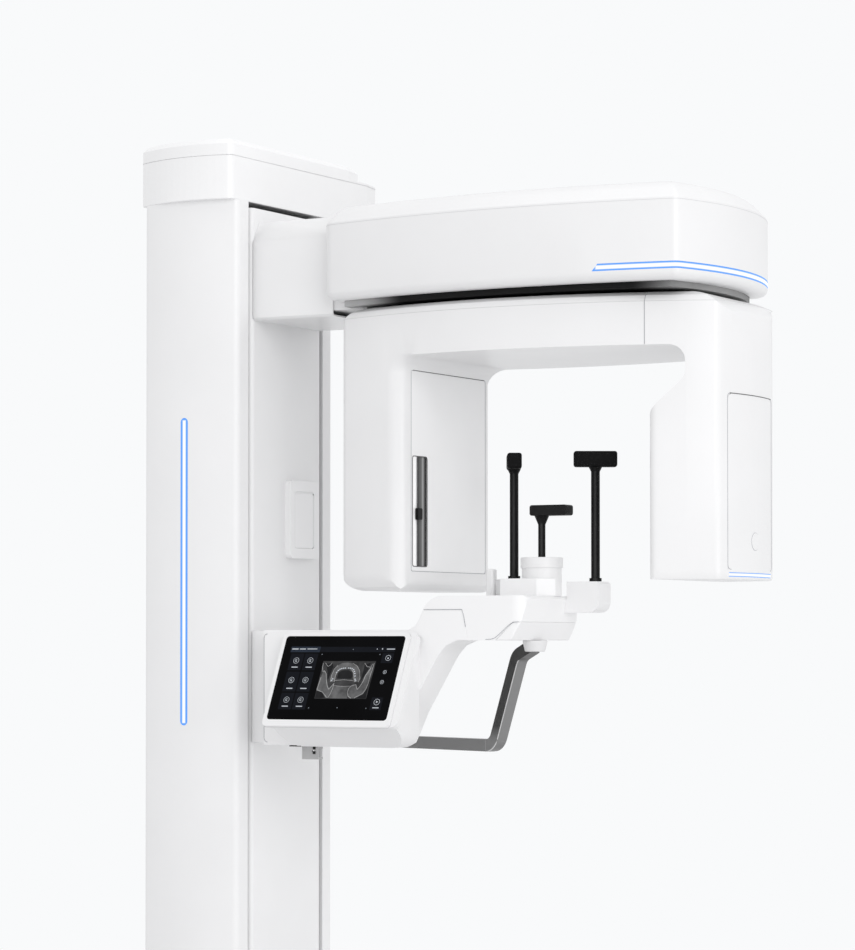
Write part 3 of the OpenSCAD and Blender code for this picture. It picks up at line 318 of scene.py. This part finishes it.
paint = special_paint()
for name, obj in nodes.items():
    dress(obj, ROUNDED.get(name, 0))
    obj.data.materials.clear()
    obj.data.materials.append(paint[name] if name in paint else looks[slots[name]].material)


# Pieces
def add_mesh(name, verts, faces, body, material):
    mesh = bpy.data.meshes.new(name)
    mesh.from_pydata([Vector(v) * MM for v in verts], [], faces)
    mesh.validate()
    obj = bpy.data.objects.new(name, mesh)
    bpy.context.scene.collection.objects.link(obj)
    mesh.materials.append(material)
    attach(obj, body)
    return obj


def tube(name, points, radius, body, material, closed=False):
    """A thin round thread along points, for the line of a seam or an edge."""
    sides = 6
    pts = [Vector(p) for p in points]
    count = len(pts)
    verts, faces = [], []
    for i, p in enumerate(pts):
        a = pts[(i - 1) % count] if closed or i else p
        b = pts[(i + 1) % count] if closed or i < count - 1 else p
        along = (b - a).normalized()
        across = Vector((0, 0, 1)) if abs(along.z) < 0.9 else Vector((1, 0, 0))
        side = along.cross(across).normalized()
        other = along.cross(side)
        for k in range(sides):
            t = 2 * math.pi * k / sides
            verts.append(p + radius * (side * math.cos(t) + other * math.sin(t)))
    for i in range(count if closed else count - 1):
        j = (i + 1) % count
        for k in range(sides):
            m = (k + 1) % sides
            faces.append((i * sides + k, i * sides + m, j * sides + m, j * sides + k))
    if not closed:
        faces.append(tuple(range(sides)))
        faces.append(tuple((count - 1) * sides + k for k in reversed(range(sides))))
    obj = add_mesh(name, verts, faces, body, material)
    obj.data.polygons.foreach_set("use_smooth", [True] * len(obj.data.polygons))


def block(name, corner, other, body, material):
    """A plain box between two corners."""
    verts = [(x, y, z) for x in (corner[0], other[0]) for y in (corner[1], other[1])
             for z in (corner[2], other[2])]
    faces = [(0, 1, 3, 2), (4, 6, 7, 5), (0, 4, 5, 1), (2, 3, 7, 6), (0, 2, 6, 4), (1, 5, 7, 3)]
    add_mesh(name, verts, faces, body, material)


def sweep(centre, radius, start, end, n):
    """Points along an arc, without its first one."""
    turns = (start + (end - start) * i / n for i in range(1, n + 1))
    return [centre + Vector((math.cos(t), math.sin(t))) * radius for t in turns]


def rectangle(u0, v0, u1, v1):
    return [(u0, v0), (u1, v0), (u1, v1), (u0, v1)]


def rounded(corners, radius):
    """A closed outline with each corner rounded."""
    ring = []
    pts = [Vector(c) for c in corners]
    for i, p in enumerate(pts):
        before, after = pts[i - 1] - p, pts[(i + 1) % len(pts)] - p
        a, b = before.normalized(), after.normalized()
        reach = min(radius / math.tan(a.angle(b) / 2), before.length * 0.45, after.length * 0.45)
        for k in range(6):
            t = k / 5
            ring.append((p + a * reach) * (1 - t) ** 2 + p * 2 * t * (1 - t) + (p + b * reach) * t ** 2)
    return ring


def circle_meet(a, ra, b, rb):
    """The point below the line of centres where two circles meet."""
    d = (b - a).length
    u = (b - a) / d
    t = (ra * ra - rb * rb + d * d) / (2 * d)
    p, q = a + u * t, Vector((-u.y, u.x)) * math.sqrt(ra * ra - t * t)
    return p + q if q.y < 0 else p - q


def heading(a, b):
    return math.atan2(b.y - a.y, b.x - a.x)


def barrel(x0, r0, c0, x1, r1, c1, middle, half_width, side_r):
    """The barrel-shaped plan of head and arm, as a closed ring of points just inside the surface. x0 and x1
    are its ends, r0 and r1 the radii of their arcs, c0 and c1 the radii of the corners there."""
    inset = 0.1
    c0, c1 = c0 - inset, c1 - inset
    r0_in, r1_in, side_in = r0 - inset, r1 - inset, side_r - inset
    side, e0, e1 = Vector((middle, side_r - half_width)), Vector((x0 + r0, 0)), Vector((x1 - r1, 0))
    f0 = circle_meet(e0, r0_in - c0, side, side_in - c0)
    f1 = circle_meet(side, side_in - c1, e1, r1_in - c1)
    half = [Vector((x0 + inset, 0))] + sweep(e0, r0_in, -math.pi, heading(e0, f0), 4)
    half += sweep(f0, c0, heading(e0, f0), heading(side, f0), 6)
    half += sweep(side, side_in, heading(side, f0), heading(side, f1), 16)
    half += sweep(f1, c1, heading(side, f1), heading(e1, f1), 6)
    half += sweep(e1, r1_in, heading(e1, f1), 0, 6)
    return half + [Vector((p.x, -p.y)) for p in half[-2:0:-1]]


def seam_look(name, colour):
    return plastic(name, colour, 0.5, 0.6, 0.05, 0.1).material


def on_table(profile):
    """Points just off the table's near face."""
    return [(AXIS_X + x, TABLE_Y0 - 0.2, TABLE_TOP + z) for x, z in profile]


def on_arm_end(y, z):
    """A point on the curved end of the scanning arm."""
    return ARM_X1 - ARM_END_R + math.sqrt(ARM_END_R ** 2 - y * y), y, z


SEAM_R, FAINT_R = 0.55, 0.4
shadow = seam_look("seam_shadow", (0.42, 0.43, 0.45))
faint = seam_look("seam_faint", (0.66, 0.66, 0.665))
pale = seam_look("seam_pale", (0.76, 0.76, 0.765))
dark = seam_look("seam_dark", (0.12, 0.12, 0.122))

# Seams of head and scanning arm
head_ring = barrel(HEAD_X0, 2600, 36, HEAD_X1, 490, 16, AXIS_X + 22, 214, 1500)
tube("seam_head", [(p.x, p.y, HEAD_SEAM) for p in head_ring], FAINT_R, "carriage", faint, True)
arm_ring = barrel(ARM_X0, 500, 24, ARM_X1, ARM_END_R, 18, ARM_MIDDLE, ARM_HALF, ARM_SIDE_R)
tube("seam_arm", [(p.x, p.y, ARM_SEAM) for p in arm_ring], FAINT_R, "scan_arm", faint, True)
w = ARM_HALF - ARM_SIDE_R + math.sqrt(ARM_SIDE_R ** 2 - (DETECTOR_SEAM_X - ARM_MIDDLE) ** 2)
detector_line = [(w, BEAM_UNDER + 1), (w, ARM_SEAM), (w - 5, ARM_TOP - 6), (w - 15, ARM_TOP)]
for tag, sign in (("near", -1), ("far", 1)):
    tube("seam_detector_" + tag, [(DETECTOR_SEAM_X, sign * y, z) for y, z in detector_line],
         SEAM_R, "scan_arm", shadow)

# Seams of table and lower arm
table_front = [(-168, -23), (-95, -23), (-92, -32), (-88, -52)]
table_end = [(-50, -73.5), (-40, -73), (-33, -71), (-27, -67), (-8, -51), (-2, -46.8), (4, -44.6), (12, -44)]
root = [(-478, -63.5), (-483, -65), (-485, -70), (-485, -244), (-483, -249), (-478, -251)]
for name, line in (("seam_table_front", table_front), ("seam_table_end", table_end), ("seam_root", root)):
    tube(name, on_table(line), SEAM_R, "carriage", shadow)

# Seam round the cap: a bowed near side, then straight sides
cap_ring = [(-112 + 206 * i / 14, -187 + 0.0021 * (-132 + 206 * i / 14) ** 2) for i in range(15)]
cap_ring += [(101, 281), (88, 341), (-102, 341), (-112, 0)]
tube("seam_cap", [(p.x, p.y, CAP_SEAM) for p in rounded(cap_ring, 14)], 0.3, "column", pale, True)

# Seams of door, source panel and laser window
door = rounded(rectangle(-DOOR_HALF, DOOR_Z0, DOOR_HALF, DOOR_Z1), 8)
tube("seam_door", [on_arm_end(p.x, p.y) for p in door], SEAM_R, "scan_arm", shadow, True)
panel = rounded(rectangle(-SOURCE_HALF, SOURCE_Z0, SOURCE_HALF, SOURCE_Z1), 5)
tube("seam_source", [(SOURCE_X, p.x, p.y) for p in panel], SEAM_R, "scan_arm", shadow, True)
panel_top = [(SOURCE_X, y, SOURCE_Z1) for y in (5 - SOURCE_HALF, 0, SOURCE_HALF - 5)]
tube("seam_source_top", panel_top, 0.9, "scan_arm", dark)
door_top = [on_arm_end(y, DOOR_Z1) for y in range(6 - DOOR_HALF, DOOR_HALF - 5, 12)]
tube("seam_door_top", door_top, 0.8, "scan_arm", dark)
low, high = in_mm(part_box("laser_strip"))
window = rounded(rectangle(low.y, low.z, in_mm(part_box("laser_window"))[1].y, high.z), 6)
tube("seam_window", [(SOURCE_X + 0.2, p.x, p.y) for p in window], 0.8, "scan_arm", dark, True)
low, high = in_mm(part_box("door_cap"))
middle, half = (low + high) / 2, (high - low) / 2
turns = [2 * math.pi * i / 32 for i in range(32)]
oval = [on_arm_end(middle.y + half.y * math.cos(t), middle.z + half.z * math.sin(t)) for t in turns]
tube("seam_door_cap", oval, 0.5, "scan_arm", shadow, True)

# Painted shade: dark strips in the column's slot, where its inside lies in shade
painted_shade_black = plastic("slot_painted_shade", (0.02, 0.02, 0.02), 0.6, 0.75, 0.2, 0.4).set(Specular_IOR_Level=0.1).material
for tag, y0, y1 in (("near", -126, -119.5), ("far", 119.5, 126)):
    block("slot_painted_shade_" + tag, (62, y0, 40), (90, y1, 2130), "column", painted_shade_black)

# Roof of the neck's recess over the scanning arm
block("neck_roof", (215, -112, 1950), (330, 112, 1975), "carriage", looks["white_cover"].material)

# Lining of the remote's pocket, which keeps its gap and the shade in it faint; it takes the lighter white of
# painted light
low, high = in_mm(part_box("remote"))
front = high.x + 0.3
block("remote_lining_top", (low.x, low.y, high.z - 0.3), (front, high.y, high.z + 1.8), "carriage",
      looks["white_painted_lighter"].material)
block("remote_lining_side", (low.x, high.y - 0.3, low.z + 4), (front, high.y + 1.3, high.z - 4), "carriage",
      looks["white_painted_lighter"].material)

# Painted shade: a dark strip for the slot under the display and dark fills in the hook's two holes; the
# hook's plug
low, high = in_mm(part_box("display_housing"))
block("housing_slot", (228, -200.2, low.z - 0.4), (251, -194, low.z + 1.6), "carriage", painted_shade_black)
low, high = in_mm(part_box("hook_bracket"))
block("hook_plug", (low.x + 5, low.y + 0.2, low.z + 11), (low.x + 11, low.y + 3.8, low.z + 17), "carriage",
      paint["hook_bracket"])
for k in (0, 1):
    z = low.z + 9 + 8 * k
    block("hook_hole_shade_%d" % k, (high.x - 10, low.y - 1, z), (high.x - 5, low.y + 1, z + 5), "carriage", painted_shade_black)


def on_handle(x, y, z):
    """A point of the handle before its turn about the socket, turned into place."""
    c, s = math.cos(HANDLE_TURN), math.sin(HANDLE_TURN)
    return HANDLE_X + (x - HANDLE_X) * c + y * s, HANDLE_Y - (x - HANDLE_X) * s + y * c, z


# Painted highlight along the edge between the handle's near face and its outer face, and the joint of its
# lower bar
low_bend = Vector((HANDLE_BEND_X, HANDLE_LOW + HANDLE_R))
upward = Vector((math.cos(HANDLE_LEAN), math.sin(HANDLE_LEAN)))
outward = Vector((math.sin(HANDLE_LEAN), -math.cos(HANDLE_LEAN)))
high_bend = low_bend + outward * 2 * HANDLE_R + upward * HANDLE_RISE
outer_r, inner_r, quarter = HANDLE_R + HANDLE_HALF, HANDLE_R - HANDLE_HALF, math.pi / 2
highlight_line = [low_bend - Vector((0, outer_r))] + sweep(low_bend, outer_r, -quarter, HANDLE_LEAN - quarter, 8)
highlight_line += [high_bend - outward * inner_r]
highlight_line += sweep(high_bend, inner_r, HANDLE_LEAN + quarter, math.radians(125), 4)
tube("handle_edge_painted_highlight", [on_handle(p.x, -HANDLE_HALF, p.y) for p in highlight_line], 0.9, "carriage",
     plastic("handle_edge_painted_highlight", (0.62, 0.62, 0.62), 0.3, 0.4, 0.05, 0.1).material)
joint = rounded(rectangle(-HANDLE_HALF, HANDLE_LOW - HANDLE_HALF, HANDLE_HALF, HANDLE_LOW + HANDLE_HALF), 3)
tube("seam_handle", [on_handle(HANDLE_BEND_X, p.x, p.y) for p in joint], 0.45, "carriage",
     plastic("handle_seam", (0.3, 0.3, 0.3), 0.4, 0.5, 0.05, 0.1).material, True)


# Display
def screen_point(u, v, lift):
    """A point on the display glass: u from its left end, v up from its lower edge, lift in front of it."""
    depth = 0.2 - lift
    c, s = math.cos(GLASS_LEAN), math.sin(GLASS_LEAN)
    return GLASS_X + u, GLASS_Y + depth * c + v * s, GLASS_Z - depth * s + v * c


rim = rounded(rectangle(-BEZEL, -BEZEL_LOW, GLASS_W + BEZEL, GLASS_H + BEZEL), 9)
tube("seam_bezel", [screen_point(p.x, p.y, -BEZEL_STEP) for p in rim], 0.6, "carriage", faint, True)


def screen_look(name, colour, spread=0.12):
    look = Look(name).set(Base_Color=(0.003, 0.003, 0.0034, 1), Roughness=0.25, Specular_IOR_Level=0.02)
    return look.set(Emission_Color=look.varied(colour, spread, 60), Emission_Strength=1).material


screen = {
    "tile": screen_look("screen_tile", (0.006, 0.007, 0.01)),
    "tile_light": screen_look("screen_tile_light", (0.022, 0.029, 0.044)),
    "mark": screen_look("screen_mark", (0.5, 0.53, 0.57)),
    "soft_mark": screen_look("screen_soft_mark", (0.16, 0.18, 0.2)),
    "tissue": screen_look("screen_tissue", (0.05, 0.05, 0.051), 0.4),
    "tissue_dark": screen_look("screen_tissue_dark", (0.016, 0.016, 0.017), 0.3),
    "bone": screen_look("screen_bone", (0.12, 0.12, 0.122), 0.4),
    "bone_edge": screen_look("screen_bone_edge", (0.36, 0.36, 0.362), 0.25),
}


class Sheet:
    """Flat shapes on the glass, all of one colour, gathered into one piece."""

    def __init__(self, name, colour, lift):
        self.name, self.colour, self.lift = name, colour, lift
        self.verts, self.faces = [], []

    def shape(self, points):
        start = len(self.verts)
        self.verts += [screen_point(u, v, self.lift) for u, v in points]
        self.faces.append(tuple(range(start, start + len(points))))
        return self

    def bar(self, u0, v0, u1, v1, r=0.0):
        if r == 0:
            return self.shape(rectangle(u0, v0, u1, v1))
        pts = []
        corners = ((u1 - r, v1 - r, 0), (u0 + r, v1 - r, 90), (u0 + r, v0 + r, 180), (u1 - r, v0 + r, 270))
        for cu, cv, start in corners:
            turns = [math.radians(start + t) for t in (0, 30, 60, 90)]
            pts += [(cu + r * math.cos(t), cv + r * math.sin(t)) for t in turns]
        return self.shape(pts)

    def ring(self, u, v, r, width, n=28, start=0, turn=360):
        for i in range(n):
            a, b = (math.radians(start + turn * k / n) for k in (i, i + 1))
            self.shape([(u + q * math.cos(t), v + q * math.sin(t)) for q, t in
                        ((r, a), (r, b), (r - width, b), (r - width, a))])
        return self

    def disc(self, u, v, r, n=10):
        turns = [2 * math.pi * i / n for i in range(n)]
        return self.shape([(u + r * math.cos(t), v + r * math.sin(t)) for t in turns])

    def stroke(self, points, width):
        for (u0, v0), (u1, v1) in zip(points, points[1:]):
            d = Vector((v0 - v1, u1 - u0)).normalized() * width / 2
            self.shape([(u0 + d.x, v0 + d.y), (u0 - d.x, v0 - d.y),
                        (u1 - d.x, v1 - d.y), (u1 + d.x, v1 + d.y)])
        return self

    def done(self):
        add_mesh(self.name, self.verts, self.faces, "carriage", screen[self.colour])


# Menu: tiles with icons on the left, buttons on the right, a bar along the top
tiles = Sheet("screen_tiles", "tile", 0.06)
tiles.bar(73.2, 126.8, 220, 136.6)
icons = Sheet("screen_icons", "mark", 0.12)
for v0, v1 in ((92.3, 124), (52.4, 89.6), (19, 50)):
    for u0, u1 in ((17.5, 43.6), (45.6, 71.6)):
        tiles.bar(u0, v0, u1, v1, 1)
        u, v = (u0 + u1) / 2, v0 + (v1 - v0) * 0.58
        icons.ring(u, v, 5.6, 0.7).ring(u, v, 2.6, 0.8, 14, 40, 280).disc(u + 0.6, v - 0.4, 0.9)
        icons.bar(u - 6.2, v0 + 5, u + 6.2, v0 + 6.8, 0.6)
tiles.bar(197.6, 106.6, 219.8, 125, 1).bar(197.2, 19.4, 219, 43, 1)
Sheet("screen_tab", "tile_light", 0.06).bar(14.6, 126.4, 73, 137, 0.8).done()
icons.ring(210.3, 116, 5.2, 0.7).disc(210.3, 115.4, 1.5, 12)
icons.ring(210.3, 89.7, 3.4, 0.7, 20).ring(209.2, 71.2, 3.6, 0.7, 20)
icons.disc(210.3, 89.7, 1.1).disc(209.2, 71.2, 1.2)
icons.ring(208.6, 34.3, 5.8, 0.8).shape([(207.2, 32.2), (211, 34.6), (207.2, 37)])
icons.bar(202.5, 22.8, 214.6, 24.6, 0.6)
icons.bar(16.8, 131.4, 29.6, 133.6, 0.6).bar(31.9, 131.6, 44.2, 133.4, 0.6).bar(47.3, 131.8, 67, 133.4, 0.6)
icons.disc(185, 132.6, 1).disc(195.2, 132.8, 1.3).bar(203.6, 131.6, 219.6, 133.4, 0.6)
tiles.done()
icons.done()
ticks = Sheet("screen_ticks", "soft_mark", 0.06)
for u, v in ((79, 122.4), (138.3, 131.8), (192.7, 122.5), (78.4, 22.2), (134.2, 23.1), (190.4, 22.5)):
    ticks.disc(u, v, 1.1)
ticks.done()

# A generic jaw picture: soft tissue, a dental arch and the two sides of a lower jaw
tissue = [(85.2, 39.7), (186.2, 39.9), (188.4, 110), (85.2, 109.8)]
Sheet("screen_tissue", "tissue", 0.06).shape(tissue).done()
arch = [(108.6, 71), (108, 83), (110.5, 95), (116, 102), (123, 106), (133.5, 107), (144.5, 105.5),
        (154, 100.7), (161, 91.5), (165, 77.5), (163.4, 71)]
inner = [(116.4, 71), (115.7, 83), (118.2, 90.5), (121, 92.6), (125, 94), (132, 95.2), (139, 95.2),
         (145, 93.2), (149.7, 88.4), (153, 79), (155.6, 71)]
airway = Sheet("screen_airway", "tissue_dark", 0.1)
airway.shape([(120, 77), (120, 88), (126, 92), (133, 93), (140, 92.6), (146, 89), (149, 83), (148.6, 77)])
airway.shape([(92, 104), (104, 107), (107, 99), (105, 84), (103, 73), (99, 88)])
airway.shape([(168, 104), (179, 107), (177, 94), (172, 80), (167, 72), (168, 88)])
airway.shape([(86, 55), (97, 51.5), (106, 41), (86, 40.4)])
airway.shape([(184.6, 68), (182.6, 57), (178, 48), (164, 40.4), (185.6, 40.4)])
airway.done()
left_jaw = [(89, 90), (92, 91.6), (96.6, 86), (100, 74.5), (104.5, 63.3), (109, 57), (116.6, 68),
            (116.2, 58.5), (114.3, 48.3), (111, 41.4), (108.9, 41.4), (98, 52), (86, 55.8), (87, 66.5),
            (88, 79.3)]
right_jaw = [(182.4, 98), (180, 94.3), (177, 87.8), (174.3, 83), (172.8, 73.4), (169, 63.3), (164.7, 57),
             (160, 66), (153, 64.4), (148, 59.6), (147, 52), (150, 44.6), (156, 41), (162.5, 41.4),
             (177, 49.4), (181.5, 58.5), (183.3, 69), (183.8, 82.5)]
chin = [(117, 63), (117, 58), (115, 48), (112, 40.4), (149, 40.4), (146, 52), (147, 60), (150, 63.6)]
bone = Sheet("screen_bone", "bone", 0.14)
for a, b, c, d in zip(arch, arch[1:], inner[1:], inner):
    bone.shape([d, c, b, a])
bone.shape(left_jaw).shape(right_jaw).shape(chin).done()
edge = Sheet("screen_bone_edge", "bone_edge", 0.18)
edge.stroke(left_jaw[:10], 1.1).stroke(left_jaw[10:], 1).stroke(right_jaw[:13], 1.1).stroke(right_jaw[13:], 1)
edge.stroke(inner[:4], 1).stroke(inner[7:], 1).stroke(arch[:4], 0.8).stroke(arch[6:], 0.8)
edge.stroke([(85.9, 106), (86.6, 97), (89, 90)], 0.9)
edge.stroke([(185.6, 106.5), (184.8, 94), (183.8, 82.5)], 0.9)
edge.stroke([(90, 106.5), (96.6, 99.6), (101, 102.3), (103, 106.5)], 0.7)
edge.stroke([(167, 106.5), (173.5, 99.6), (181, 98.5), (183, 105)], 0.7)
edge.stroke([(117, 73.5), (134, 75), (152, 73.5)], 0.6).stroke([(117, 64), (134, 62.6), (152, 63.4)], 0.6)
edge.done()
teeth = Sheet("screen_teeth", "mark", 0.22)
for u, v in ((110.6, 73.6), (112, 76.6), (116.6, 88.6), (118.8, 92.4), (121.6, 94.6), (124.8, 95.8),
             (128.2, 96.4), (131.8, 96.8), (138, 96.9), (141.6, 96.7), (145.2, 95.8), (148.6, 94),
             (151, 90.6), (152.8, 86.6), (154.4, 82), (156.2, 76), (157.8, 73.2)):
    teeth.bar(u - 1.3, v - 1.1, u + 1.3, v + 1.1, 0.6)
teeth.done()


# Floor, light, camera
def floor_disc(middle_x, radius, n=96):
    turns = [2 * math.pi * i / n for i in range(n)]
    mesh = bpy.data.meshes.new("floor")
    mesh.from_pydata([(middle_x + radius * math.cos(t), radius * math.sin(t), -0.0005) for t in turns],
                     [], [tuple(range(n))])
    obj = bpy.data.objects.new("floor", mesh)
    bpy.context.scene.collection.objects.link(obj)
    mesh.materials.append(plastic("floor", (0.8, 0.8, 0.803), 0.6, 0.7, 0.01, 0.05, 60).material)


def studio_world():
    """Soft light all round, and a pale background where the camera or a mirror image sees past the object."""
    world = bpy.data.worlds.new("studio")
    bpy.context.scene.world = world
    world.use_nodes = True
    tree = world.node_tree
    tree.nodes.clear()
    out = tree.nodes.new("ShaderNodeOutputWorld")
    mix = tree.nodes.new("ShaderNodeMixShader")
    path = tree.nodes.new("ShaderNodeLightPath")
    for k, (colour, strength) in enumerate((((0.99, 0.99, 1, 1), 0.84), ((0.947, 0.956, 0.965, 1), 1))):
        light = tree.nodes.new("ShaderNodeBackground")
        light.inputs["Color"].default_value = colour
        light.inputs["Strength"].default_value = strength
        tree.links.new(light.outputs["Background"], mix.inputs[1 + k])
    seen = path.outputs["Is Camera Ray"]
    for other in ("Is Glossy Ray", "Is Transmission Ray"):
        either = tree.nodes.new("ShaderNodeMath")
        either.operation = "MAXIMUM"
        tree.links.new(seen, either.inputs[0])
        tree.links.new(path.outputs[other], either.inputs[1])
        seen = either.outputs[0]
    tree.links.new(seen, mix.inputs["Fac"])
    tree.links.new(mix.outputs["Shader"], out.inputs["Surface"])


def softbox(name, place, target, size, power):
    data = bpy.data.lights.new(name, "AREA")
    data.shape = "RECTANGLE"
    data.size, data.size_y = size
    data.energy = power
    obj = bpy.data.objects.new(name, data)
    bpy.context.scene.collection.objects.link(obj)
    obj.location = place
    obj.rotation_euler = (Vector(target) - Vector(place)).to_track_quat("-Z", "Y").to_euler()


floor_disc(0.4, 4.5)
studio_world()
softbox("key", (4.4, -3.9, 3.6), (0.5, 0, 1.5), (3, 3), 72)
softbox("top", (0.6, -0.4, 5), (0.5, 0, 1.6), (3, 3), 16)
softbox("low", (5.2, -1.8, 0.9), (0.6, 0, 1.6), (2.4, 1.4), 20)

# The camera was fitted to points of the photo
camera = bpy.data.cameras.new("camera")
camera.lens = 123.04
camera.sensor_width = 36
camera.shift_y = 0.0984
view = bpy.data.objects.new("camera", camera)
bpy.context.scene.collection.objects.link(view)
view.location = (3.1396, -4.9489, 1.375)
view.rotation_euler = (math.radians(90 + 1.29), 0, math.radians(29.08))
bpy.context.scene.camera = view
bpy.context.scene.view_settings.view_transform = "Standard"
